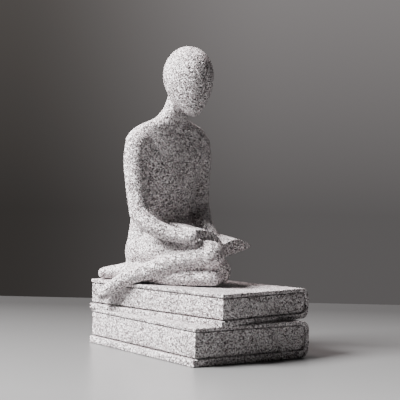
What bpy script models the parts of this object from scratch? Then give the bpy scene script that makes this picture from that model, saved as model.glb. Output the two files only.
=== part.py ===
"""Reading thinker statue: a faceless figure reading on a stack of two closed books, cast in one piece.

Frame: metres, +Z up, origin at the middle of the underside, which is the lower book's footprint.
The lower book's fore-edge faces -X and its tail faces -Y, the way the figure looks.
"""

import math

import bmesh
import bpy
from mathutils import Matrix, Vector

STATUE_NAME = "reading_thinker_statue"

# Lower closed book
LOWER_LENGTH = 0.152
LOWER_WIDTH = 0.1132
LOWER_THICKNESS = 0.0295

# Upper closed book, turned and shifted on the lower one
UPPER_LENGTH = 0.156
UPPER_WIDTH = 0.1016
UPPER_THICKNESS = 0.025
UPPER_TURN = math.radians(9.2)
UPPER_SHIFT_X = 0.0052
UPPER_SHIFT_Y = 0.0071

# Casing of both closed books: boards wrapped round a page block
TOP_BOARD = 0.003
LOWER_BOTTOM_BOARD = 0.0058
UPPER_BOTTOM_BOARD = 0.0045
BOTTOM_OVERHANG = 0.0012
SPINE_THICKNESS = 0.004
PAGE_INSET = 0.0011
SPINE_ROUNDING = 0.0095
SPINE_FULLNESS = 2.5
SPINE_STEPS = 10
STACK_OVERLAP = 0.0004

# Open book in the hands
OPEN_PAGE_HEIGHT = 0.039
OPEN_RIGHT_WIDTH = 0.0275
OPEN_LEFT_WIDTH = 0.031
OPEN_GUTTER_DEPTH = 0.0112
OPEN_ARCH_RISE = 0.0176
OPEN_ARCH_LEAN = 0.87
OPEN_EDGE_RISE = 0.0148
OPEN_EDGE_THICKNESS = 0.0020
OPEN_ROLL = math.radians(13)
OPEN_SLOPE = math.radians(7)
OPEN_TURN = math.radians(-1)
OPEN_STEPS = 8

# Figure: the pose is drawn on a figure DRAWN_HEIGHT units tall from seat to crown
FIGURE_HEIGHT = 0.197
DRAWN_HEIGHT = 197
UNIT = FIGURE_HEIGHT / DRAWN_HEIGHT
SEAT_FROM_FORE_EDGE = 0.0397
SEAT_FROM_HEAD_EDGE = 0.0348
FIGURE_SIDES = 20
FIGURE_GRAIN = 1.3
FIGURE_SOFTENING = 14
FIGURE_TRIANGLES = 6000

STONE_COLOUR = (0.62, 0.60, 0.58, 1.0)
STONE_ROUGHNESS = 0.9

# Stations along each limb: x, y, z, then its radius, or its half-width and half-depth.
# x is to the figure's left, y to its back, z up from the seat.
TORSO = (
    (1, 0, 6, 20, 16),
    (0.7, 0, 21.5, 27, 20),
    (4, -1.5, 37.5, 29, 19),
    (5.2, -4.6, 55.5, 30.2, 17.5),
    (3.4, -9.2, 77.5, 29.6, 18),
    (2.6, -13, 96, 34, 17),
    (2.6, -14.2, 108, 39.5, 15),
    (3.3, -14.2, 117.5, 42.8, 13),
    (3.6, -13.8, 124.5, 38.6, 12),
    (4.3, -14.1, 128.5, 34.5, 11.7),
    (4.6, -14.2, 132.5, 27, 11.3),
    (5.4, -14.6, 137, 16.4, 10.8),
    (6, -16.2, 142, 12, 10.3),
    (6.4, -18, 146.5, 9.9, 9.6),
    (6.6, -19.4, 150.5, 9.1, 9),
    (7, -21.6, 156, 9, 9),
)
CROWN = (10.4, -23.5, 196.2)
CHIN = (8, -44.4, 138.4)
HEAD_HALF_WIDTH = 22.5
HEAD_HALF_DEPTH = 26
CHIN_TAPER = 0.5
RIGHT_UPPER_ARM = (
    (-29.5, -17.4, 115.5, 10.6),
    (-32.5, -17.8, 102, 9.6),
    (-32.7, -19.3, 90, 9.2),
    (-32.7, -21.8, 76, 8.8),
    (-32.6, -24.6, 65, 8.6),
    (-33, -26.7, 58, 8.2),
)
RIGHT_FOREARM = (
    (-33, -26.7, 58, 8.2),
    (-29.6, -37, 49.3, 7.6),
    (-21.9, -48.3, 43.6, 6.9),
    (-14.3, -58.8, 41, 6.1),
)
RIGHT_HAND = (
    (-14.3, -58.8, 41, 6.1, 6),
    (-10.8, -64.4, 40.4, 6, 5.8),
    (-8.4, -67.9, 40.1, 5.7, 5.4),
)
LEFT_UPPER_ARM = (
    (35.5, -10.5, 116, 11),
    (39.4, -9.8, 104, 9.8),
    (40.2, -8.8, 88, 8.8),
    (40, -9.6, 70, 8.3),
    (39, -12.5, 60, 8.3),
)
LEFT_FOREARM = (
    (39, -12.5, 60, 8.3),
    (35, -21, 52.5, 8.2),
    (32.4, -31.5, 45, 7),
    (32, -41, 39, 5.6),
)
LEFT_HAND = (
    (32, -41, 39, 5.6, 5.4),
    (34, -48, 32, 5.6, 4.8),
    (36.5, -55, 27.5, 4.6, 4),
)
RIGHT_HIP = ((-8, 2, 20, 16), (-13, -5, 25, 15.5))
RIGHT_THIGH = (
    (-13, -5, 25, 15.5),
    (-8.4, -27.3, 27.1, 14.4),
    (-0.7, -51.3, 26.4, 13),
    (6.4, -73.1, 26.1, 11.5),
)
RIGHT_SHIN = (
    (5.9, -74, 25.8, 11.3),
    (-1.7, -65.4, 23, 8.8),
    (-13.8, -51.7, 19.4, 8.6),
    (-25.4, -35.9, 11.8, 7.9),
    (-33.4, -25.8, 7.5, 7.1),
    (-38.9, -16.3, 3.1, 6.6),
)
RIGHT_FOOT = (
    (-38.9, -16.3, 3.1, 6.6),
    (-43, -7.5, -3.2, 6.3),
    (-46, 0.5, -8.2, 6),
    (-47.5, 3, -10.4, 5.4),
)
LEFT_HIP = ((8, 2, 20, 17), (16, 2, 18, 15.5))
LEFT_THIGH = (
    (16, 2, 17.5, 15.5),
    (18.2, -32.9, 14.6, 13.4),
    (15.3, -69.1, 12.6, 12.2),
)
LEFT_SHIN = (
    (7.9, -76.1, 7.5, 6.9),
    (-2.1, -65.1, 7, 6.8),
    (-12.4, -50.3, 6.8, 7.2),
    (-21.2, -26.6, 7.2, 7.8),
    (-25.7, 0.1, 7.6, 7.4),
    (-24, 9.9, 7.4, 6.9),
)
LEFT_FOOT = (
    (-24, 9.9, 7.2, 6.7),
    (-31, 19, 5.8, 5.9),
    (-35.7, 22.6, 5.1, 5),
)
OPEN_BOOK_FOLD = (21.8, -46, 25.3)

SIDEWAYS = Vector((1, 0, 0))
UPWARDS = Vector((0, 0, 1))


def clear_scene():
    for old in list(bpy.data.objects):
        bpy.data.objects.remove(old)


def new_object(name, bm):
    mesh = bpy.data.meshes.new(name)
    bmesh.ops.recalc_face_normals(bm, faces=bm.faces)
    bm.to_mesh(mesh)
    bm.free()
    made = bpy.data.objects.new(name, mesh)
    bpy.context.scene.collection.objects.link(made)
    return made


def stone():
    material = bpy.data.materials.new("cast_stone_resin")
    material.use_nodes = True
    shader = material.node_tree.nodes["Principled BSDF"]
    shader.inputs["Base Color"].default_value = STONE_COLOUR
    shader.inputs["Roughness"].default_value = STONE_ROUGHNESS
    shader.inputs["Metallic"].default_value = 0.0
    return material


def on_curve(stations, span, share):
    """A point of the smooth curve through the stations, as a list of all their numbers."""
    last = len(stations) - 1
    before, here, after, beyond = (stations[min(max(span + k, 0), last)] for k in (-1, 0, 1, 2))
    mixed = []
    for p0, p1, p2, p3 in zip(before, here, after, beyond):
        bend = (2 * p0 - 5 * p1 + 4 * p2 - p3) * share**2 + (3 * p1 - p0 - 3 * p2 + p3) * share**3
        mixed.append(0.5 * (2 * p1 + (p2 - p0) * share + bend))
    return mixed


def full_station(station):
    """A station with one radius gets it twice, as half-width and half-depth."""
    return station if len(station) == 5 else (*station, station[3])


def smooth_stations(stations, steps):
    whole = [full_station(s) for s in stations]
    smooth = [on_curve(whole, span, k / steps) for span in range(len(whole) - 1) for k in range(steps)]
    return [*smooth, list(whole[-1])]


def rounded_end(station, outwards, rings):
    """Rings that close a limb's end with half an ellipsoid, from the end outwards."""
    x, y, z, wide, deep = station
    reach = min(wide, deep)
    made = []
    for k in range(1, rings):
        turn = 0.5 * math.pi * k / rings
        centre = Vector((x, y, z)) + outwards * (reach * math.sin(turn))
        made.append((*centre, wide * math.cos(turn), deep * math.cos(turn)))
    return made, Vector((x, y, z)) + outwards * reach


def add_rings(bm, path, start_tip, finish_tip, broad, level=False):
    """A closed skin over elliptical rings, square to the path or level. Their half-width lies along broad."""
    centres = [Vector(s[:3]) for s in path]
    rings = []
    for k, station in enumerate(path):
        along = (centres[min(k + 1, len(path) - 1)] - centres[max(k - 1, 0)]).normalized()
        if level:
            along = UPWARDS
        across = (broad - broad.dot(along) * along).normalized()
        through = along.cross(across)
        ring = []
        for side in range(FIGURE_SIDES):
            turn = 2 * math.pi * side / FIGURE_SIDES
            offset = across * (station[3] * math.cos(turn)) + through * (station[4] * math.sin(turn))
            ring.append(bm.verts.new(centres[k] + offset))
        rings.append(ring)
    for ring, following in zip(rings, rings[1:]):
        for side in range(FIGURE_SIDES):
            beside = (side + 1) % FIGURE_SIDES
            bm.faces.new((ring[side], ring[beside], following[beside], following[side]))
    for ring, tip in ((rings[0], start_tip), (rings[-1], finish_tip)):
        point = bm.verts.new(tip)
        for side in range(FIGURE_SIDES):
            bm.faces.new((point, ring[side], ring[(side + 1) % FIGURE_SIDES]))


def add_limb(bm, stations, broad=SIDEWAYS, level=False, steps=4, end_rings=4):
    """A closed tube through the stations, with rounded ends."""
    path = smooth_stations(stations, steps)
    first, second = Vector(path[0][:3]), Vector(path[1][:3])
    last, previous = Vector(path[-1][:3]), Vector(path[-2][:3])
    start_rings, start_tip = rounded_end(path[0], (first - second).normalized(), end_rings)
    finish_rings, finish_tip = rounded_end(path[-1], (last - previous).normalized(), end_rings)
    add_rings(bm, [*reversed(start_rings), *path, *finish_rings], start_tip, finish_tip, broad, level)


def add_head(bm, rings=16):
    """A faceless egg from the crown to the narrower chin."""
    crown, chin = Vector(CROWN), Vector(CHIN)
    path = []
    for k in range(1, rings):
        turn = math.pi * k / rings
        share = 0.5 * (1 - math.cos(turn))
        size = math.sin(turn) * (1 - CHIN_TAPER * share**2)
        path.append((*crown.lerp(chin, share), HEAD_HALF_WIDTH * size, HEAD_HALF_DEPTH * size))
    add_rings(bm, path, crown, chin, SIDEWAYS)


def figure_body(seat):
    """The whole figure, its limbs melted together into one smooth skin."""
    bm = bmesh.new()
    add_head(bm)
    add_limb(bm, TORSO, level=True)
    for stations in (RIGHT_UPPER_ARM, LEFT_UPPER_ARM, RIGHT_FOREARM, LEFT_FOREARM):
        add_limb(bm, stations, broad=UPWARDS + SIDEWAYS)
    for stations in (RIGHT_HAND, LEFT_HAND):
        add_limb(bm, stations, broad=UPWARDS)
    for stations in (RIGHT_HIP, LEFT_HIP, RIGHT_THIGH, LEFT_THIGH):
        add_limb(bm, stations, broad=UPWARDS)
    for stations in (RIGHT_SHIN, LEFT_SHIN, RIGHT_FOOT, LEFT_FOOT):
        add_limb(bm, stations, broad=UPWARDS)
    bmesh.ops.transform(bm, matrix=Matrix.Translation(seat) @ Matrix.Scale(UNIT, 4), verts=bm.verts)
    figure = new_object(STATUE_NAME, bm)
    melt = figure.modifiers.new("melt_limbs", "REMESH")
    melt.mode = "VOXEL"
    melt.voxel_size = FIGURE_GRAIN * UNIT
    soften = figure.modifiers.new("soften_creases", "SMOOTH")
    soften.factor = 0.5
    soften.iterations = FIGURE_SOFTENING
    apply_modifiers(figure)
    thin = figure.modifiers.new("fewer_faces", "DECIMATE")
    figure.data.calc_loop_triangles()
    thin.ratio = FIGURE_TRIANGLES / len(figure.data.loop_triangles)
    apply_modifiers(figure)
    return figure


def apply_modifiers(owner):
    """Replaces the object's mesh by what its modifiers make of it."""
    bpy.context.view_layer.update()
    graph = bpy.context.evaluated_depsgraph_get()
    made = bpy.data.meshes.new_from_object(owner.evaluated_get(graph))
    owner.modifiers.clear()
    owner.data = made


def spine_profile(right, low, high, rounding):
    """Points (x, z) down the rounded spine, from its top edge to its bottom edge."""
    points = []
    half = 0.5 * (high - low)
    for k in range(SPINE_STEPS + 1):
        turn = 0.5 * math.pi - math.pi * k / SPINE_STEPS
        out = abs(math.cos(turn)) ** (2 / SPINE_FULLNESS)
        rise = math.copysign(abs(math.sin(turn)) ** (2 / SPINE_FULLNESS), math.sin(turn))
        points.append((right - rounding + rounding * out, low + half * (1 + rise)))
    return points


def prism(name, profile, start, end):
    """A closed solid with the profile (x, z) swept along Y from start to end."""
    bm = bmesh.new()
    face = bm.faces.new([bm.verts.new((x, start, z)) for x, z in profile])
    swept = bmesh.ops.extrude_face_region(bm, geom=[face])["geom"]
    moved = [v for v in swept if isinstance(v, bmesh.types.BMVert)]
    bmesh.ops.translate(bm, vec=(0, end - start, 0), verts=moved)
    return new_object(name, bm)


def closed_book(name, length, width, thickness, bottom_board):
    """A closed book lying flat: the boards wrap the page block and stand proud of it."""
    fore, spine = -0.5 * width, 0.5 * width
    under_top = thickness - TOP_BOARD
    outside = spine_profile(spine, 0, thickness, SPINE_ROUNDING)
    inner_rounding = SPINE_ROUNDING - SPINE_THICKNESS
    inside = spine_profile(spine - SPINE_THICKNESS, bottom_board, under_top, inner_rounding)
    lip = fore - BOTTOM_OVERHANG
    casing = [(fore, thickness), *outside, (lip, 0), (lip, bottom_board), *reversed(inside), (fore, under_top)]
    book = prism(name, casing, -0.5 * length, 0.5 * length)
    hidden = 0.5 * TOP_BOARD
    bottom, top = bottom_board - hidden, under_top + hidden
    pages = spine_profile(spine - SPINE_THICKNESS + hidden, bottom, top, inner_rounding)
    block = [(fore + PAGE_INSET, top), *pages, (fore + PAGE_INSET, bottom)]
    reach = 0.5 * length - PAGE_INSET
    fuse(book, prism(name + "_pages", block, -reach, reach))
    return book


def open_book_profile():
    """Points (x, z) round the open book's end: two page arches over a shallow V of covers."""
    under, over = [], []
    for k in range(OPEN_STEPS + 1):
        share = k / OPEN_STEPS
        under.append((share, OPEN_EDGE_RISE * share**1.25))
        arch = math.sin(math.pi * share**OPEN_ARCH_LEAN)
        arch *= OPEN_ARCH_RISE - 0.5 * (OPEN_GUTTER_DEPTH + OPEN_EDGE_RISE)
        level = OPEN_GUTTER_DEPTH + (OPEN_EDGE_RISE + OPEN_EDGE_THICKNESS - OPEN_GUTTER_DEPTH) * share
        over.append((share, level + arch))
    right = [(x * OPEN_RIGHT_WIDTH, z) for x, z in [*under, *reversed(over)]]
    left = [(-x * OPEN_LEFT_WIDTH, z) for x, z in [*over[1:], *reversed(under[1:])]]
    return right + left


def open_book(fold):
    """The open book, the fold of its covers at the point given, rolled and sloping away from the reader."""
    half = 0.5 * OPEN_PAGE_HEIGHT
    book = prism("open_book", open_book_profile(), -half, half)
    tilted = Matrix.Rotation(OPEN_SLOPE, 4, "X") @ Matrix.Rotation(OPEN_ROLL, 4, "Y")
    book.data.transform(Matrix.Translation(fold) @ Matrix.Rotation(OPEN_TURN, 4, "Z") @ tilted)
    return book


def fuse(body, addition):
    """Joins the addition to the body by a Boolean union and hides it."""
    union = body.modifiers.new("fuse_" + addition.name, "BOOLEAN")
    union.operation = "UNION"
    union.object = addition
    addition.hide_render = True
    addition.display_type = "WIRE"


def main():
    clear_scene()
    lower = closed_book("lower_book", LOWER_LENGTH, LOWER_WIDTH, LOWER_THICKNESS, LOWER_BOTTOM_BOARD)
    upper = closed_book("upper_book", UPPER_LENGTH, UPPER_WIDTH, UPPER_THICKNESS, UPPER_BOTTOM_BOARD)
    lay = Matrix.Translation((UPPER_SHIFT_X, UPPER_SHIFT_Y, LOWER_THICKNESS - STACK_OVERLAP))
    turned = lay @ Matrix.Rotation(UPPER_TURN, 4, "Z")
    upper.matrix_world = turned
    upper.modifiers[0].object.matrix_world = turned
    seat_x = SEAT_FROM_FORE_EDGE - 0.5 * UPPER_WIDTH
    seat_y = 0.5 * UPPER_LENGTH - SEAT_FROM_HEAD_EDGE
    seat = turned @ Vector((seat_x, seat_y, UPPER_THICKNESS))
    statue = figure_body(seat)
    for piece in (open_book(seat + UNIT * Vector(OPEN_BOOK_FOLD)), upper, lower):
        fuse(statue, piece)
    statue.data.materials.append(stone())
    statue.data.shade_smooth()


main()
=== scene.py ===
"""A cast statue of a reader on two closed books, laid out as a Blender add-on and run as a script.

The figure's skin is lofted ring by ring and melted into one form, the books are cut and rounded
from blocks, and all of it is fused into one casting of speckled stone.
"""

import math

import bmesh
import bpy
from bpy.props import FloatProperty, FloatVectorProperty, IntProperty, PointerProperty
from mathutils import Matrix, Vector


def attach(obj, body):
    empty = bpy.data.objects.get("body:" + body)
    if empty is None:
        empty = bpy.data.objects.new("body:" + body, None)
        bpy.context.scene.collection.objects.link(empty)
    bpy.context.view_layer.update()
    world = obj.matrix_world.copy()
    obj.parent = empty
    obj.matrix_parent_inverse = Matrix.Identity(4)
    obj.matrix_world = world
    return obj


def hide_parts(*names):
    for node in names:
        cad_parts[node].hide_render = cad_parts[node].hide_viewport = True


bl_info = {
    "name": "Reading Thinker Statue",
    "version": (1, 0, 0),
    "blender": (4, 5, 0),
    "location": "3D View > Sidebar > Statue",
    "description": "Models a cast statue of a reader on two books, its speckled finish and its stage",
    "category": "Add Mesh",
}

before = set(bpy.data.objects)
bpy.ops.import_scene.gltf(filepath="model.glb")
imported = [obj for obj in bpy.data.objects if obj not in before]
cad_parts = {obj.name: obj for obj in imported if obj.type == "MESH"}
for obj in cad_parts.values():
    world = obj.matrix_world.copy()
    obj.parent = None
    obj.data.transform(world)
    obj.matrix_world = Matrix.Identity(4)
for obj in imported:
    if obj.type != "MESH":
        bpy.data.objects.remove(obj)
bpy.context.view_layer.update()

NODE = "reading_thinker_statue"
CASTING = "statue_casting"

# The pose is drawn on a figure this many units tall from seat to crown.
# x is to the figure's left, y to its back, z up from the seat.
# A station is x, y, z, then its radius, or its half-width and half-depth.
DRAWN_HEIGHT = 197
TORSO = (
    (1, 0, 6, 20, 16),
    (0.7, 0, 21.5, 27, 20),
    (4, -1.5, 37.5, 29, 19),
    (5.2, -4.6, 55.5, 30.2, 17.5),
    (3.4, -9.2, 77.5, 29.6, 18),
    (2.6, -13, 96, 34, 17),
    (2.6, -14.2, 108, 39.5, 15),
    (3.3, -14.2, 117.5, 42.8, 13),
    (3.6, -13.8, 124.5, 38.6, 12),
    (4.3, -14.1, 128.5, 34.5, 11.7),
    (4.6, -14.2, 132.5, 27, 11.3),
    (5.4, -14.6, 137, 16.4, 10.8),
    (6, -16.2, 142, 12, 10.3),
    (6.4, -18, 146.5, 9.9, 9.6),
    (6.6, -19.4, 150.5, 9.1, 9),
    (7, -21.6, 156, 9, 9),
)
CROWN = (10.4, -23.5, 196.2)
CHIN = (8, -44.4, 138.4)
HEAD_HALF_WIDTH = 22.5
HEAD_HALF_DEPTH = 26
CHIN_TAPER = 0.5
RIGHT_UPPER_ARM = (
    (-29.5, -17.4, 115.5, 10.6),
    (-32.5, -17.8, 102, 9.6),
    (-32.7, -19.3, 90, 9.2),
    (-32.7, -21.8, 76, 8.8),
    (-32.6, -24.6, 65, 8.6),
    (-33, -26.7, 58, 8.2),
)
RIGHT_FOREARM = (
    (-33, -26.7, 58, 8.2),
    (-29.6, -37, 49.3, 7.6),
    (-21.9, -48.3, 43.6, 6.9),
    (-14.3, -58.8, 41, 6.1),
)
RIGHT_HAND = (
    (-14.3, -58.8, 41, 6.1, 6),
    (-10.8, -64.4, 40.4, 6, 5.8),
    (-8.4, -67.9, 40.1, 5.7, 5.4),
)
LEFT_UPPER_ARM = (
    (35.5, -10.5, 116, 11),
    (39.4, -9.8, 104, 9.8),
    (40.2, -8.8, 88, 8.8),
    (40, -9.6, 70, 8.3),
    (39, -12.5, 60, 8.3),
)
LEFT_FOREARM = (
    (39, -12.5, 60, 8.3),
    (35, -21, 52.5, 8.2),
    (32.4, -31.5, 45, 7),
    (32, -41, 39, 5.6),
)
LEFT_HAND = (
    (32, -41, 39, 5.6, 5.4),
    (34, -48, 32, 5.6, 4.8),
    (36.5, -55, 27.5, 4.6, 4),
)
RIGHT_HIP = ((-8, 2, 20, 16), (-13, -5, 25, 15.5))
RIGHT_THIGH = (
    (-13, -5, 25, 15.5),
    (-8.4, -27.3, 27.1, 14.4),
    (-0.7, -51.3, 26.4, 13),
    (6.4, -73.1, 26.1, 11.5),
)
RIGHT_SHIN = (
    (5.9, -74, 25.8, 11.3),
    (-1.7, -65.4, 23, 8.8),
    (-13.8, -51.7, 19.4, 8.6),
    (-25.4, -35.9, 11.8, 7.9),
    (-33.4, -25.8, 7.5, 7.1),
    (-38.9, -16.3, 3.1, 6.6),
)
RIGHT_FOOT = (
    (-38.9, -16.3, 3.1, 6.6),
    (-43, -7.5, -3.2, 6.3),
    (-46, 0.5, -8.2, 6),
    (-47.5, 3, -10.4, 5.4),
)
LEFT_HIP = ((8, 2, 20, 17), (16, 2, 18, 15.5))
LEFT_THIGH = (
    (16, 2, 17.5, 15.5),
    (18.2, -32.9, 14.6, 13.4),
    (15.3, -69.1, 12.6, 12.2),
)
LEFT_SHIN = (
    (7.9, -76.1, 7.5, 6.9),
    (-2.1, -65.1, 7, 6.8),
    (-12.4, -50.3, 6.8, 7.2),
    (-21.2, -26.6, 7.2, 7.8),
    (-25.7, 0.1, 7.6, 7.4),
    (-24, 9.9, 7.4, 6.9),
)
LEFT_FOOT = (
    (-24, 9.9, 7.2, 6.7),
    (-31, 19, 5.8, 5.9),
    (-35.7, 22.6, 5.1, 5),
)
OPEN_BOOK_FOLD = (21.8, -46, 25.3)

ARMS = (RIGHT_UPPER_ARM, LEFT_UPPER_ARM, RIGHT_FOREARM, LEFT_FOREARM)
HANDS = (RIGHT_HAND, LEFT_HAND)
LEGS = (RIGHT_HIP, LEFT_HIP, RIGHT_THIGH, LEFT_THIGH, RIGHT_SHIN, LEFT_SHIN, RIGHT_FOOT, LEFT_FOOT)

SIDEWAYS = Vector((1, 0, 0))
UPWARDS = Vector((0, 0, 1))
TINY = 1e-5

# How finely the skin is lofted: points in a ring, then rings between stations, at an end and on the head
RING_SIDES = 28
RING_STEPS = 4
END_RINGS = 5
HEAD_RINGS = 20

# A rounded end stops this share of a ring short of its tip, and the last ring is filled flat
TIP_GAP = 0.4

# A closed book's spine bulges a little more than a round one, and its pages' edges are sharper
SPINE_FULLNESS = 0.58
SPINE_SEGMENTS = 10
PAGE_SOFTNESS = 0.6

# The open book's pages arch highest on the fold's side of their middle, and its covers curve upwards
ARCH_LEAN = 0.87
COVER_CURVE = 1.25

# Edges that turn by more than this look sharp
CREASE_ANGLE = math.radians(32)

# The colour sockets of a Mix node
MIX_A, MIX_B, MIX_RESULT = 6, 7, 2

# The camera fitted to the photograph's frame
CAMERA_PLACE = (-0.5642, -0.7797, 0.1411)
CAMERA_AZIMUTH = math.radians(-35.89)
CAMERA_PITCH = math.radians(1.03)
CAMERA_ROLL = math.radians(1.32)
SENSOR_WIDTH = 36

# The lights: where each one stands, what it points at and how wide it is
KEY_PLACE, KEY_TARGET, KEY_WIDTH = (-1.2, 0.52, 1.38), (0, 0, 0.1), 0.9
OVERHEAD_PLACE, OVERHEAD_TARGET, OVERHEAD_WIDTH = (0.1, 0.9, 1.7), (0, 0, 0.05), 1.0

# The table top's colour is painted darker from in front of the statue's row to behind it: painted shade
# where the light falls off
TABLE_SIZE = 3.0
TABLE_ROUGHNESS = 0.32
BRIGHT_IN_FRONT = 0.2
DIM_BEHIND = 0.32
BACKDROP_RADIUS = 4


class StackSizes(bpy.types.PropertyGroup):
    """Sizes of the two closed books that the figure sits on."""

    lower_length: FloatProperty(
        name="Lower length", description="Tail to head", default=0.152, unit="LENGTH"
    )
    lower_width: FloatProperty(
        name="Lower width", description="Fore-edge to spine", default=0.1132, unit="LENGTH"
    )
    lower_thickness: FloatProperty(
        name="Lower thickness", description="Over both boards", default=0.0295, unit="LENGTH"
    )
    lower_bottom_board: FloatProperty(
        name="Lower bottom board", description="Thickness of the board", default=0.0058, unit="LENGTH"
    )
    upper_length: FloatProperty(
        name="Upper length", description="Tail to head", default=0.156, unit="LENGTH"
    )
    upper_width: FloatProperty(
        name="Upper width", description="Fore-edge to spine", default=0.1016, unit="LENGTH"
    )
    upper_thickness: FloatProperty(
        name="Upper thickness", description="Over both boards", default=0.025, unit="LENGTH"
    )
    upper_bottom_board: FloatProperty(
        name="Upper bottom board", description="Thickness of the board", default=0.0045, unit="LENGTH"
    )
    upper_turn: FloatProperty(
        name="Upper turn",
        description="How far the upper book is turned on the lower one",
        default=math.radians(9.2),
        subtype="ANGLE",
    )
    upper_shift: FloatVectorProperty(
        name="Upper shift",
        description="Upper book's middle from the lower's",
        size=2,
        default=(0.0052, 0.0071),
    )
    overlap: FloatProperty(
        name="Overlap", description="How far the upper book sinks in", default=0.0004, unit="LENGTH"
    )
    top_board: FloatProperty(name="Top board", description="Thickness", default=0.003, unit="LENGTH")
    spine_thickness: FloatProperty(name="Spine", description="Thickness", default=0.004, unit="LENGTH")
    spine_rounding: FloatProperty(
        name="Spine rounding", description="Radius of its long edges", default=0.0095, unit="LENGTH"
    )
    page_inset: FloatProperty(
        name="Page inset",
        description="How far the boards stand proud of the pages",
        default=0.0007,
        unit="LENGTH",
    )
    overhang: FloatProperty(
        name="Bottom overhang", description="Bottom board past the top one", default=0.0012, unit="LENGTH"
    )
    top_groove: FloatProperty(
        name="Top groove",
        description="Gap between the top board and the pages",
        default=0.0008,
        unit="LENGTH",
    )
    bottom_groove: FloatProperty(
        name="Bottom groove",
        description="Gap between the pages and the bottom board",
        default=0.0013,
        unit="LENGTH",
    )
    groove_depth: FloatProperty(
        name="Groove depth", description="How far the gaps reach in", default=0.0024, unit="LENGTH"
    )
    softness: FloatProperty(
        name="Softness", description="Radius of the boards' worn edges", default=0.0008, unit="LENGTH"
    )


class OpenBookSizes(bpy.types.PropertyGroup):
    """Sizes of the open book in the figure's hands."""

    page_height: FloatProperty(name="Page height", description="Tail to head", default=0.039, unit="LENGTH")
    right_width: FloatProperty(
        name="Right width", description="Fold to fore-edge", default=0.0275, unit="LENGTH"
    )
    left_width: FloatProperty(
        name="Left width", description="Fold to fore-edge", default=0.031, unit="LENGTH"
    )
    gutter_depth: FloatProperty(
        name="Gutter depth", description="Pages' thickness at the fold", default=0.0112, unit="LENGTH"
    )
    arch_rise: FloatProperty(
        name="Arch rise", description="Top of the page arches over the fold", default=0.0176, unit="LENGTH"
    )
    edge_rise: FloatProperty(
        name="Edge rise", description="Covers' lift at their fore-edges", default=0.0148, unit="LENGTH"
    )
    edge_thickness: FloatProperty(
        name="Edge thickness", description="Leaves left at the fore-edge", default=0.0020, unit="LENGTH"
    )
    roll: FloatProperty(
        name="Roll", description="Lean to the side", default=math.radians(13), subtype="ANGLE"
    )
    slope: FloatProperty(
        name="Slope", description="Fall away from the reader", default=math.radians(7), subtype="ANGLE"
    )
    turn: FloatProperty(
        name="Turn", description="Turn about the vertical", default=math.radians(-1), subtype="ANGLE"
    )
    columns: IntProperty(name="Columns", description="Strips across each page arch", default=14)
    softness: FloatProperty(
        name="Softness", description="Radius of the edges", default=0.0003, unit="LENGTH"
    )


class FigureSizes(bpy.types.PropertyGroup):
    """Size, place and smoothness of the seated figure."""

    height: FloatProperty(name="Height", description="Seat to crown", default=0.197, unit="LENGTH")
    from_fore_edge: FloatProperty(
        name="From fore-edge",
        description="Seat from the upper book's fore-edge",
        default=0.0397,
        unit="LENGTH",
    )
    from_head_edge: FloatProperty(
        name="From head edge", description="Seat from the upper book's head", default=0.0348, unit="LENGTH"
    )
    grain: FloatProperty(name="Grain", description="Size of the skin's faces", default=0.001, unit="LENGTH")
    softening: IntProperty(name="Softening", description="Passes that soften the creases", default=16)


class StoneLook(bpy.types.PropertyGroup):
    """Colours and grain of the speckled cast stone."""

    pale: FloatVectorProperty(
        name="Pale grain",
        description="Most of the stone",
        subtype="COLOR",
        size=4,
        default=(0.6, 0.545, 0.55, 1),
    )
    white: FloatVectorProperty(
        name="White grain",
        description="Brightest specks",
        subtype="COLOR",
        size=4,
        default=(0.97, 0.925, 0.93, 1),
    )
    grey: FloatVectorProperty(
        name="Grey grain",
        description="Middle specks",
        subtype="COLOR",
        size=4,
        default=(0.25, 0.2, 0.205, 1),
    )
    dark: FloatVectorProperty(
        name="Dark grain",
        description="Darkest specks",
        subtype="COLOR",
        size=4,
        default=(0.035, 0.023, 0.024, 1),
    )
    grey_from: FloatProperty(name="Grey from", description="Share of grains that are dark", default=0.14)
    pale_from: FloatProperty(name="Pale from", description="Share that are dark or grey", default=0.34)
    white_from: FloatProperty(name="White from", description="Share that aren't white", default=0.58)
    grain: FloatProperty(name="Grain", description="Size of a grain", default=0.00072, unit="LENGTH")
    speck: FloatProperty(
        name="Speck", description="Size of a speck among them", default=0.0008, unit="LENGTH"
    )
    speck_share: FloatProperty(name="Specks", description="Share of dark and of white specks", default=0.06)
    roughness: FloatProperty(name="Roughness", description="Matt finish", default=0.58)
    polished_roughness: FloatProperty(
        name="Polish", description="Roughness of the shiny grains", default=0.2
    )
    polished_share: FloatProperty(
        name="Shiny grains", description="Share of grains that are shiny", default=0.2
    )
    half_polished: FloatProperty(name="Half shiny", description="Share between shiny and matt", default=0.1)
    glint: FloatProperty(name="Glint", description="How far the grains lean out of the skin", default=1.0)


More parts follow.
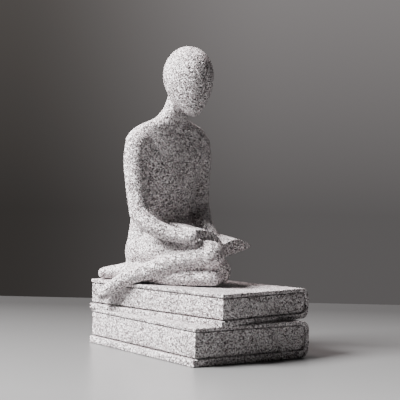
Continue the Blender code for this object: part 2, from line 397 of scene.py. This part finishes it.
class StageLook(bpy.types.PropertyGroup):
    """Floor, backdrop, lights and lens of the studio."""

    floor: FloatVectorProperty(
        name="Floor", description="Pale table top", subtype="COLOR", size=4, default=(0.19, 0.19, 0.19, 1)
    )
    # Painted shade: the table's colour at its far side, darker where the light falls off
    floor_painted_shade: FloatVectorProperty(
        name="Floor, back",
        description="Its dimmer far side",
        subtype="COLOR",
        size=4,
        default=(0.04, 0.04, 0.04, 1),
    )
    # Painted light: the backdrop's glow runs from this dark grey to the lit grey below
    backdrop_dark: FloatVectorProperty(
        name="Backdrop, dark side",
        description="Grey",
        subtype="COLOR",
        size=4,
        default=(0.088, 0.080, 0.075, 1),
    )
    backdrop_light: FloatVectorProperty(
        name="Backdrop, lit side",
        description="Grey",
        subtype="COLOR",
        size=4,
        default=(0.244, 0.230, 0.229, 1),
    )
    backdrop_left: FloatProperty(
        name="Dark up to", description="Where the backdrop starts to brighten", default=-0.85, unit="LENGTH"
    )
    backdrop_right: FloatProperty(
        name="Lit from", description="Where the backdrop is at its brightest", default=0.35, unit="LENGTH"
    )
    backdrop_top: FloatProperty(
        name="Full height", description="Where it stops brightening upwards", default=0.95, unit="LENGTH"
    )
    backdrop_foot: FloatProperty(
        name="Foot", description="Share of its brightness left at the foot", default=0.45
    )
    backdrop_light_share: FloatProperty(
        name="Light share",
        description="How much of the backdrop's brightness lights the statue",
        default=0.04,
    )
    back_edge: FloatProperty(
        name="Back edge", description="Table's edge behind the statue", default=0.39, unit="LENGTH"
    )
    lens: FloatProperty(name="Lens", description="Focal length in millimetres", default=104.84)
    key: FloatProperty(name="Key light", description="Power of the key light", default=230, unit="POWER")
    overhead: FloatProperty(
        name="Overhead light", description="Power of the light above and behind", default=30, unit="POWER"
    )
    overhead_colour: FloatVectorProperty(
        name="Overhead colour", description="Faintly warm", subtype="COLOR", size=3, default=(1, 0.85, 0.85)
    )


def only(piece):
    """Selects this piece and nothing else, in object mode."""
    if bpy.context.object and bpy.context.object.mode != "OBJECT":
        bpy.ops.object.mode_set(mode="OBJECT")
    bpy.ops.object.select_all(action="DESELECT")
    piece.select_set(True)
    bpy.context.view_layer.objects.active = piece


def add_block(name, low, high):
    """A block between two corners, its place in its mesh."""
    bpy.ops.object.select_all(action="DESELECT")
    size = [b - a for a, b in zip(low, high)]
    bpy.ops.mesh.primitive_cube_add(size=1, location=[0.5 * (a + b) for a, b in zip(low, high)], scale=size)
    block = bpy.context.object
    block.name = name
    settle(block)
    return block


def settle(piece):
    """Puts the piece's place, turn and size into its mesh."""
    only(piece)
    bpy.ops.object.transform_apply(location=True, rotation=True, scale=True)


def edit(piece, mode):
    """Starts edit mode with nothing selected. The mode is VERT, EDGE or FACE."""
    only(piece)
    bpy.ops.object.mode_set(mode="EDIT")
    bpy.ops.mesh.select_mode(type=mode)
    bpy.ops.mesh.select_all(action="DESELECT")


def move_points(piece, wanted, step):
    """In edit mode, moves the points that pass the test by this step."""
    bm = bmesh.from_edit_mesh(piece.data)
    for point in bm.verts:
        point.select_set(wanted(point.co))
    bm.select_flush_mode()
    bmesh.update_edit_mesh(piece.data)
    bpy.ops.transform.translate(value=step)


def soften_edges(piece, radius, angle=35):
    """Rounds every edge that turns by more than the angle."""
    only(piece)
    soft = piece.modifiers.new("soft_edges", "BEVEL")
    soft.width = radius
    soft.segments = 3
    soft.limit_method = "ANGLE"
    soft.angle_limit = math.radians(angle)
    bpy.ops.object.modifier_apply(modifier=soft.name)


def combine(piece, other, how):
    """Joins or cuts the piece with the other one, which is used up."""
    only(piece)
    boolean = piece.modifiers.new("with_" + other.name, "BOOLEAN")
    boolean.operation = how
    boolean.solver = "MANIFOLD"
    boolean.object = other
    bpy.ops.object.modifier_apply(modifier=boolean.name)
    bpy.data.objects.remove(other)


def near(value, target):
    """Whether two lengths are the same, apart from rounding."""
    return abs(value - target) < TINY


def closed_book(name, length, width, thickness, bottom_board):
    """A closed book lying flat round the origin, its fore-edge at -X: boards and spine round the pages."""
    sizes = bpy.context.scene.statue_stack
    fore, spine, tail, head = -0.5 * width, 0.5 * width, -0.5 * length, 0.5 * length
    under_top = thickness - sizes.top_board
    inner = spine - sizes.spine_thickness
    inner_rounding = sizes.spine_rounding - sizes.spine_thickness
    inset = sizes.page_inset

    # The boards and spine are what a cavity, open on three sides, leaves of a block
    book = add_block(name, (fore, tail, 0), (spine, head, thickness))
    round_long_edges(book, spine, sizes.spine_rounding, fullness=SPINE_FULLNESS)
    past = 2 * inset
    cavity = add_block("cavity", (fore - past, tail - past, bottom_board), (inner, head + past, under_top))
    round_long_edges(cavity, inner, inner_rounding)
    combine(book, cavity, "DIFFERENCE")
    edit(book, "VERT")
    move_points(
        book, lambda p: p.x < fore + TINY and p.z < bottom_board + TINY, (-sizes.overhang, 0, 0)
    )
    bpy.ops.object.mode_set(mode="OBJECT")
    soften_edges(book, sizes.softness)

    # The pages stand clear of the boards and spine by the grooves
    pages = add_block(
        "pages",
        (fore + inset, tail + inset, bottom_board + sizes.bottom_groove),
        (inner - sizes.top_groove, head - inset, under_top - sizes.top_groove),
    )
    round_long_edges(pages, inner - sizes.top_groove, inner_rounding)
    soften_edges(pages, PAGE_SOFTNESS * sizes.softness)

    # A core joins them behind the grooves
    deep = inset + sizes.groove_depth
    sunk = 0.5 * sizes.top_board
    core = add_block(
        "core",
        (fore + deep, tail + deep, bottom_board - sunk),
        (inner + sunk, head - deep, under_top + sunk),
    )
    round_long_edges(core, inner + sunk, inner_rounding)
    combine(book, core, "UNION")
    combine(book, pages, "UNION")
    return book


def round_long_edges(piece, across, radius, fullness=0.5):
    """Rounds the edges that run along Y on the side at x = across."""
    edit(piece, "EDGE")
    bm = bmesh.from_edit_mesh(piece.data)
    for edge in bm.edges:
        a, b = (v.co for v in edge.verts)
        edge.select_set(near(a.x, across) and near(b.x, across) and near(a.z, b.z))
    bmesh.update_edit_mesh(piece.data)
    bpy.ops.mesh.bevel(offset=radius, segments=SPINE_SEGMENTS, profile=fullness, affect="EDGES")
    bpy.ops.object.mode_set(mode="OBJECT")


class STATUE_OT_closed_books(bpy.types.Operator):
    """Make the two closed books, the upper one turned and laid on the lower"""

    bl_idname = "statue.closed_books"
    bl_label = "Closed books"

    def execute(self, context):
        s = context.scene.statue_stack
        closed_book("lower_book", s.lower_length, s.lower_width, s.lower_thickness, s.lower_bottom_board)
        upper = closed_book(
            "upper_book", s.upper_length, s.upper_width, s.upper_thickness, s.upper_bottom_board
        )
        upper.matrix_world = upper_place()
        settle(upper)
        return {"FINISHED"}


def upper_place():
    """Where the upper book lies on the lower one."""
    s = bpy.context.scene.statue_stack
    shift = Matrix.Translation((*s.upper_shift, s.lower_thickness - s.overlap))
    return shift @ Matrix.Rotation(s.upper_turn, 4, "Z")


def seat_place():
    """The middle of the figure's seat, on the upper book's top."""
    s, f = bpy.context.scene.statue_stack, bpy.context.scene.statue_figure
    across = f.from_fore_edge - 0.5 * s.upper_width
    along = 0.5 * s.upper_length - f.from_head_edge
    return upper_place() @ Vector((across, along, s.upper_thickness))


def figure_unit():
    """The real size of one drawn unit."""
    return bpy.context.scene.statue_figure.height / DRAWN_HEIGHT


def on_curve(stations, span, share):
    """A point of the smooth curve through the stations, as a list of all their numbers."""
    last = len(stations) - 1
    before, here, after, beyond = (stations[min(max(span + k, 0), last)] for k in (-1, 0, 1, 2))
    mixed = []
    for p0, p1, p2, p3 in zip(before, here, after, beyond):
        bend = (2 * p0 - 5 * p1 + 4 * p2 - p3) * share**2 + (3 * p1 - p0 - 3 * p2 + p3) * share**3
        mixed.append(0.5 * (2 * p1 + (p2 - p0) * share + bend))
    return mixed


def smooth_stations(stations):
    """Stations close together on a smooth path. One radius counts as half-width and half-depth."""
    whole = [s if len(s) == 5 else (*s, s[3]) for s in stations]
    smooth = []
    for span in range(len(whole) - 1):
        smooth += [on_curve(whole, span, k / RING_STEPS) for k in range(RING_STEPS)]
    return [*smooth, list(whole[-1])]


def rounded_end(station, outwards):
    """Stations that close a limb's end with half an ellipsoid, nearly down to its tip."""
    centre, wide, deep = Vector(station[:3]), station[3], station[4]
    reach = min(wide, deep)
    made = []
    for k in range(1, END_RINGS + 1):
        turn = 0.5 * math.pi * k / (END_RINGS + TIP_GAP)
        place = centre + outwards * (reach * math.sin(turn))
        made.append((*place, wide * math.cos(turn), deep * math.cos(turn)))
    return made


def limb_path(stations):
    """A limb's stations with both ends rounded."""
    path = smooth_stations(stations)
    places = [Vector(s[:3]) for s in path]
    start = rounded_end(path[0], (places[0] - places[1]).normalized())
    finish = rounded_end(path[-1], (places[-1] - places[-2]).normalized())
    return [*reversed(start), *path, *finish]


def head_path():
    """Stations of a faceless egg from the crown to the narrower chin."""
    crown, chin = Vector(CROWN), Vector(CHIN)
    path = []
    for k in range(1, HEAD_RINGS):
        turn = math.pi * k / HEAD_RINGS
        share = 0.5 * (1 - math.cos(turn))
        size = math.sin(turn) * (1 - CHIN_TAPER * share**2)
        path.append((*crown.lerp(chin, share), HEAD_HALF_WIDTH * size, HEAD_HALF_DEPTH * size))
    return path


def loft(piece, path, broad, level=False):
    """In edit mode, adds a ring at each station, square to the path or level, and bridges them.

    Both ends are filled.
    """
    unit, seat = figure_unit(), seat_place()
    centres = [seat + unit * Vector(s[:3]) for s in path]
    last = len(path) - 1
    for k, station in enumerate(path):
        along = UPWARDS if level else (centres[min(k + 1, last)] - centres[max(k - 1, 0)]).normalized()
        across = (broad - broad.dot(along) * along).normalized()
        turn = Matrix((across, along.cross(across), along)).transposed()
        bpy.ops.mesh.primitive_circle_add(
            vertices=RING_SIDES, radius=unit, location=centres[k], rotation=turn.to_euler()
        )
        bpy.ops.transform.resize(
            value=(station[3], station[4], 1),
            orient_type="GLOBAL",
            orient_matrix=turn,
            orient_matrix_type="GLOBAL",
            center_override=centres[k],
        )
        if k in (0, last):
            bpy.ops.mesh.edge_face_add()
        if k:
            bridge_last_rings(piece)


def bridge_last_rings(piece):
    """In edit mode, joins the last two rings by a band of faces."""
    bm = bmesh.from_edit_mesh(piece.data)
    bm.verts.ensure_lookup_table()
    first = len(bm.verts) - 2 * RING_SIDES
    for edge in bm.edges:
        ends = [v.index for v in edge.verts]
        edge.select_set(min(ends) >= first and len(edge.link_faces) < 2)
    bmesh.update_edit_mesh(piece.data)
    bpy.ops.mesh.bridge_edge_loops()


class STATUE_OT_figure(bpy.types.Operator):
    """Make the seated figure: loft the head, trunk and limbs, then melt them into one skin"""

    bl_idname = "statue.figure"
    bl_label = "Seated figure"

    def execute(self, context):
        sizes = context.scene.statue_figure
        # A ball inside the head starts the mesh, and melts away into it
        bpy.ops.object.select_all(action="DESELECT")
        bpy.ops.mesh.primitive_uv_sphere_add(
            radius=HEAD_HALF_WIDTH * 0.5 * figure_unit(),
            location=seat_place() + figure_unit() * Vector(CROWN).lerp(Vector(CHIN), 0.5),
        )
        figure = context.object
        figure.name = "figure"
        settle(figure)
        edit(figure, "EDGE")
        loft(figure, head_path(), SIDEWAYS)
        loft(figure, limb_path(TORSO), SIDEWAYS, level=True)
        for stations in ARMS:
            loft(figure, limb_path(stations), UPWARDS + SIDEWAYS)
        for stations in HANDS + LEGS:
            loft(figure, limb_path(stations), UPWARDS)
        bpy.ops.object.mode_set(mode="OBJECT")
        melt = figure.modifiers.new("melt_limbs", "REMESH")
        melt.mode = "VOXEL"
        melt.voxel_size = sizes.grain
        soften = figure.modifiers.new("soften_creases", "SMOOTH")
        soften.factor = 0.5
        soften.iterations = sizes.softening
        bpy.ops.object.modifier_apply(modifier=melt.name)
        bpy.ops.object.modifier_apply(modifier=soften.name)
        return {"FINISHED"}


class STATUE_OT_open_book(bpy.types.Operator):
    """Make the open book in the figure's hands, with two arched blocks of pages"""

    bl_idname = "statue.open_book"
    bl_label = "Open book"

    def execute(self, context):
        s = context.scene.statue_open_book
        half = 0.5 * s.page_height
        book = add_block("open_book", (-s.left_width, -half, 0), (s.right_width, half, s.gutter_depth))
        edit(book, "FACE")
        for k in range(1 - s.columns, s.columns):
            bpy.ops.mesh.select_all(action="SELECT")
            bpy.ops.mesh.bisect(plane_co=(column_place(s, k), 0, 0), plane_no=(1, 0, 0))
        bpy.ops.mesh.select_mode(type="VERT")
        for k in range(-s.columns, s.columns + 1):
            lift_column(book, s, k)
        bpy.ops.object.mode_set(mode="OBJECT")
        soften_edges(book, s.softness, angle=50)
        tilted = Matrix.Rotation(s.slope, 4, "X") @ Matrix.Rotation(s.roll, 4, "Y")
        fold = seat_place() + figure_unit() * Vector(OPEN_BOOK_FOLD)
        book.matrix_world = Matrix.Translation(fold) @ Matrix.Rotation(s.turn, 4, "Z") @ tilted
        settle(book)
        return {"FINISHED"}


def column_place(sizes, k):
    """How far from the fold a strip of the open book starts, the left page's being negative."""
    return (sizes.right_width if k > 0 else sizes.left_width) * k / sizes.columns


def lift_column(book, sizes, k):
    """In edit mode, lifts the pages to their arch and the covers to their curve, where a strip starts."""
    place, share = column_place(sizes, k), abs(k) / sizes.columns
    middle = 0.5 * sizes.gutter_depth
    arch_height = sizes.arch_rise - 0.5 * (sizes.gutter_depth + sizes.edge_rise)
    arch = math.sin(math.pi * share**ARCH_LEAN) * arch_height
    level = sizes.gutter_depth + (sizes.edge_rise + sizes.edge_thickness - sizes.gutter_depth) * share
    page_rise = level + arch - sizes.gutter_depth
    cover_rise = sizes.edge_rise * share**COVER_CURVE
    move_points(book, lambda p: near(p.x, place) and p.z > middle, (0, 0, page_rise))
    move_points(book, lambda p: near(p.x, place) and p.z <= middle, (0, 0, cover_rise))


def start_material(name):
    """A new material with its nodes and links."""
    material = bpy.data.materials.new(name)
    material.use_nodes = True
    return material, material.node_tree.nodes, material.node_tree.links


def speckled_stone(look):
    """Cast stone: fine grains that lean their own ways and catch the light, and specks among them."""
    material, nodes, links = start_material("speckled_cast_stone")
    shader = nodes["Principled BSDF"]
    place = nodes.new("ShaderNodeTexCoord")

    # Each grain has one of four tones
    grains = nodes.new("ShaderNodeTexVoronoi")
    grains.inputs["Scale"].default_value = 1 / look.grain
    links.new(place.outputs["Object"], grains.inputs["Vector"])
    one_of = nodes.new("ShaderNodeSeparateColor")
    links.new(grains.outputs["Color"], one_of.inputs["Color"])
    tones = steps_of_tone(
        nodes,
        (
            (0, look.dark),
            (look.grey_from, look.grey),
            (look.pale_from, look.pale),
            (look.white_from, look.white),
        ),
    )
    links.new(one_of.outputs["Red"], tones.inputs["Fac"])

    # A few dark and white specks lie among them
    specks = nodes.new("ShaderNodeTexVoronoi")
    specks.inputs["Scale"].default_value = 1 / look.speck
    links.new(place.outputs["Object"], specks.inputs["Vector"])
    which = nodes.new("ShaderNodeSeparateColor")
    links.new(specks.outputs["Color"], which.inputs["Color"])
    few = look.speck_share
    speck_tones = steps_of_tone(nodes, ((0, look.dark), (0.5, look.white)))
    is_speck = steps_of_tone(nodes, ((0, (1,) * 4), (few, (0, 0, 0, 1)), (1 - few, (1,) * 4)))
    links.new(which.outputs["Red"], speck_tones.inputs["Fac"])
    links.new(which.outputs["Red"], is_speck.inputs["Fac"])
    blend = nodes.new("ShaderNodeMix")
    blend.data_type = "RGBA"
    links.new(is_speck.outputs["Color"], blend.inputs["Factor"])
    links.new(tones.outputs["Color"], blend.inputs[MIX_A])
    links.new(speck_tones.outputs["Color"], blend.inputs[MIX_B])
    links.new(blend.outputs[MIX_RESULT], shader.inputs["Base Color"])

    # Some grains are polished
    polish = nodes.new("ShaderNodeMapRange")
    polish.inputs["From Min"].default_value = look.polished_share
    polish.inputs["From Max"].default_value = look.polished_share + look.half_polished
    polish.inputs["To Min"].default_value = look.polished_roughness
    polish.inputs["To Max"].default_value = look.roughness
    links.new(one_of.outputs["Green"], polish.inputs["Value"])
    links.new(polish.outputs["Result"], shader.inputs["Roughness"])

    # Each grain leans out of the skin in its own direction
    skin = nodes.new("ShaderNodeNewGeometry")
    lean = nodes.new("ShaderNodeVectorMath")
    lean.operation = "MULTIPLY_ADD"
    lean.inputs[1].default_value = (2 * look.glint,) * 3
    lean.inputs[2].default_value = (-look.glint,) * 3
    links.new(grains.outputs["Color"], lean.inputs[0])
    facet = nodes.new("ShaderNodeVectorMath")
    facet.operation = "ADD"
    links.new(skin.outputs["Normal"], facet.inputs[0])
    links.new(lean.outputs["Vector"], facet.inputs[1])
    unit = nodes.new("ShaderNodeVectorMath")
    unit.operation = "NORMALIZE"
    links.new(facet.outputs["Vector"], unit.inputs[0])
    links.new(unit.outputs["Vector"], shader.inputs["Normal"])
    return material


def steps_of_tone(nodes, steps):
    """A colour ramp of flat steps, each from its own place up to the next one's."""
    tones = nodes.new("ShaderNodeValToRGB")
    ramp = tones.color_ramp
    ramp.interpolation = "CONSTANT"
    ramp.elements.remove(ramp.elements[1])
    ramp.elements[0].position, ramp.elements[0].color = steps[0]
    for place, colour in steps[1:]:
        ramp.elements.new(place).color = colour
    return tones


class STATUE_OT_casting(bpy.types.Operator):
    """Fuse the figure and its three books into one casting and give it its finish"""

    bl_idname = "statue.casting"
    bl_label = "One casting"

    def execute(self, context):
        casting = bpy.data.objects["figure"]
        for name in ("open_book", "upper_book", "lower_book"):
            combine(casting, bpy.data.objects[name], "UNION")
        casting.name = CASTING
        casting.data.name = CASTING
        only(casting)
        bpy.ops.object.shade_smooth_by_angle(angle=CREASE_ANGLE)
        casting.data.materials.clear()
        casting.data.materials.append(speckled_stone(context.scene.statue_stone))
        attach(casting, "root")
        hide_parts(NODE)
        return {"FINISHED"}


def pale_table(look, near_end, far_end):
    """A pale table top whose colour is painted darker between these two places along its own Y: painted
    shade where the light falls off.
    """
    material, nodes, links = start_material("pale_table")
    shader = nodes["Principled BSDF"]
    shader.inputs["Roughness"].default_value = TABLE_ROUGHNESS
    place = nodes.new("ShaderNodeTexCoord")
    along = nodes.new("ShaderNodeSeparateXYZ")
    links.new(place.outputs["Object"], along.inputs["Vector"])
    reach = nodes.new("ShaderNodeMapRange")
    reach.inputs["From Min"].default_value = near_end
    reach.inputs["From Max"].default_value = far_end
    links.new(along.outputs["Y"], reach.inputs["Value"])
    # Painted shade: the base colour fades from the lit floor tone to a darker one towards the back
    tones = nodes.new("ShaderNodeValToRGB")
    tones.color_ramp.elements[0].color = look.floor
    tones.color_ramp.elements[1].color = look.floor_painted_shade
    links.new(reach.outputs["Result"], tones.inputs["Fac"])
    links.new(tones.outputs["Color"], shader.inputs["Base Color"])
    return material


def glowing_backdrop(look, sideways):
    """A grey backdrop that glows, with painted light brightening it to the right and upwards, and hardly
    lights the statue.
    """
    material, nodes, links = start_material("grey_backdrop")
    nodes.remove(nodes["Principled BSDF"])
    place = nodes.new("ShaderNodeTexCoord")

    # Painted light: it glows dark at the left and light at the right
    across = nodes.new("ShaderNodeVectorMath")
    across.operation = "DOT_PRODUCT"
    across.inputs[1].default_value = sideways
    links.new(place.outputs["Object"], across.inputs[0])
    spread = nodes.new("ShaderNodeMapRange")
    spread.inputs["From Min"].default_value = look.backdrop_left
    spread.inputs["From Max"].default_value = look.backdrop_right
    links.new(across.outputs["Value"], spread.inputs["Value"])
    tones = nodes.new("ShaderNodeValToRGB")
    tones.color_ramp.interpolation = "EASE"
    tones.color_ramp.elements[0].color = look.backdrop_dark
    tones.color_ramp.elements[1].color = look.backdrop_light
    links.new(spread.outputs["Result"], tones.inputs["Fac"])

    # Painted shade: its glow dims towards its foot
    height = nodes.new("ShaderNodeSeparateXYZ")
    links.new(place.outputs["Object"], height.inputs["Vector"])
    rise = nodes.new("ShaderNodeMapRange")
    rise.inputs["From Max"].default_value = look.backdrop_top
    rise.inputs["To Min"].default_value = look.backdrop_foot
    links.new(height.outputs["Z"], rise.inputs["Value"])

    # It is as bright as it looks to the camera and in reflections, and much dimmer as a light
    path = nodes.new("ShaderNodeLightPath")
    seen = nodes.new("ShaderNodeMath")
    seen.operation = "MAXIMUM"
    links.new(path.outputs["Is Camera Ray"], seen.inputs[0])
    links.new(path.outputs["Is Glossy Ray"], seen.inputs[1])
    share = nodes.new("ShaderNodeMapRange")
    share.inputs["To Min"].default_value = look.backdrop_light_share
    links.new(seen.outputs["Value"], share.inputs["Value"])
    strength = nodes.new("ShaderNodeMath")
    strength.operation = "MULTIPLY"
    links.new(rise.outputs["Result"], strength.inputs[0])
    links.new(share.outputs["Result"], strength.inputs[1])
    glow = nodes.new("ShaderNodeEmission")
    links.new(tones.outputs["Color"], glow.inputs["Color"])
    links.new(strength.outputs["Value"], glow.inputs["Strength"])
    links.new(glow.outputs["Emission"], nodes["Material Output"].inputs["Surface"])
    return material


def add_area_light(name, place, target, width, power, colour=(1, 1, 1)):
    """A round lamp that faces its target."""
    turn = (Vector(target) - Vector(place)).to_track_quat("-Z", "Y").to_euler()
    bpy.ops.object.light_add(type="AREA", location=place, rotation=turn)
    lamp = bpy.context.object
    lamp.name = name
    lamp.data.shape = "DISK"
    lamp.data.size = width
    lamp.data.energy = power
    lamp.data.color = colour


class STATUE_OT_stage(bpy.types.Operator):
    """Set the pale table top, the grey backdrop, the lights and the camera"""

    bl_idname = "statue.stage"
    bl_label = "Stage"

    def execute(self, context):
        look = context.scene.statue_stage
        forwards = Vector((-math.sin(CAMERA_AZIMUTH), math.cos(CAMERA_AZIMUTH), 0))
        sideways = Vector((math.cos(CAMERA_AZIMUTH), math.sin(CAMERA_AZIMUTH), 0))
        floor = add_table(look, forwards)
        dome = add_backdrop(look, sideways)
        add_area_light("key", KEY_PLACE, KEY_TARGET, KEY_WIDTH, look.key)
        add_area_light(
            "overhead", OVERHEAD_PLACE, OVERHEAD_TARGET, OVERHEAD_WIDTH, look.overhead, look.overhead_colour
        )
        world = context.scene.world or bpy.data.worlds.new("studio")
        context.scene.world = world
        world.use_nodes = True
        world.node_tree.nodes["Background"].inputs["Color"].default_value = (0, 0, 0, 1)
        context.scene.camera = add_camera(look.lens, forwards, sideways)
        return {"FINISHED"}


def add_table(look, forwards):
    """The table top, turned so that its far edge lies across the camera's view."""
    middle = forwards * (look.back_edge - 0.5 * TABLE_SIZE)
    bpy.ops.object.select_all(action="DESELECT")
    bpy.ops.mesh.primitive_plane_add(size=TABLE_SIZE, location=middle, rotation=(0, 0, CAMERA_AZIMUTH))
    table = bpy.context.object
    table.name = "table_top"
    statue_row = 0.5 * TABLE_SIZE - look.back_edge
    table.data.materials.append(pale_table(look, statue_row - BRIGHT_IN_FRONT, statue_row + DIM_BEHIND))
    return table


def add_backdrop(look, sideways):
    """A wide ball round the whole stage, its faces turned inwards."""
    bpy.ops.mesh.primitive_uv_sphere_add(segments=64, ring_count=32, radius=BACKDROP_RADIUS)
    ball = bpy.context.object
    ball.name = "backdrop"
    bpy.ops.object.mode_set(mode="EDIT")
    bpy.ops.mesh.flip_normals()
    bpy.ops.object.mode_set(mode="OBJECT")
    bpy.ops.object.shade_smooth()
    ball.data.materials.append(glowing_backdrop(look, sideways))
    return ball


def add_camera(lens, forwards, sideways):
    """The camera, tipped and rolled from these level directions."""
    ahead = forwards * math.cos(CAMERA_PITCH) - UPWARDS * math.sin(CAMERA_PITCH)
    upwards = sideways.cross(ahead)
    right = sideways * math.cos(CAMERA_ROLL) + upwards * math.sin(CAMERA_ROLL)
    up = upwards * math.cos(CAMERA_ROLL) - sideways * math.sin(CAMERA_ROLL)
    turn = Matrix((right, up, -ahead)).transposed()
    bpy.ops.object.camera_add(location=CAMERA_PLACE, rotation=turn.to_euler())
    camera = bpy.context.object
    camera.data.lens = lens
    camera.data.sensor_width = SENSOR_WIDTH
    return camera


class STATUE_PT_panel(bpy.types.Panel):
    """Lists the statue's steps and sizes"""

    bl_label = "Reading statue"
    bl_idname = "STATUE_PT_panel"
    bl_space_type = "VIEW_3D"
    bl_region_type = "UI"
    bl_category = "Statue"

    def draw(self, context):
        for step in STEPS:
            self.layout.operator(step.bl_idname)
        for group in GROUPS:
            box = self.layout.box()
            sizes = getattr(context.scene, group)
            for name in sizes.bl_rna.properties.keys():
                if name not in ("rna_type", "name"):
                    box.prop(sizes, name)


GROUPS = {
    "statue_stack": StackSizes,
    "statue_open_book": OpenBookSizes,
    "statue_figure": FigureSizes,
    "statue_stone": StoneLook,
    "statue_stage": StageLook,
}
STEPS = (
    STATUE_OT_closed_books,
    STATUE_OT_figure,
    STATUE_OT_open_book,
    STATUE_OT_casting,
    STATUE_OT_stage,
)


def register():
    for group in GROUPS.values():
        bpy.utils.register_class(group)
    for step in STEPS:
        bpy.utils.register_class(step)
    bpy.utils.register_class(STATUE_PT_panel)
    for name, group in GROUPS.items():
        setattr(bpy.types.Scene, name, PointerProperty(type=group))


def unregister():
    for name in GROUPS:
        delattr(bpy.types.Scene, name)
    for made in (STATUE_PT_panel, *STEPS, *GROUPS.values()):
        bpy.utils.unregister_class(made)


def main():
    """Makes the statue and its stage."""
    register()
    bpy.ops.statue.closed_books()
    bpy.ops.statue.figure()
    bpy.ops.statue.open_book()
    bpy.ops.statue.casting()
    bpy.ops.statue.stage()


if __name__ == "__main__":
    main()
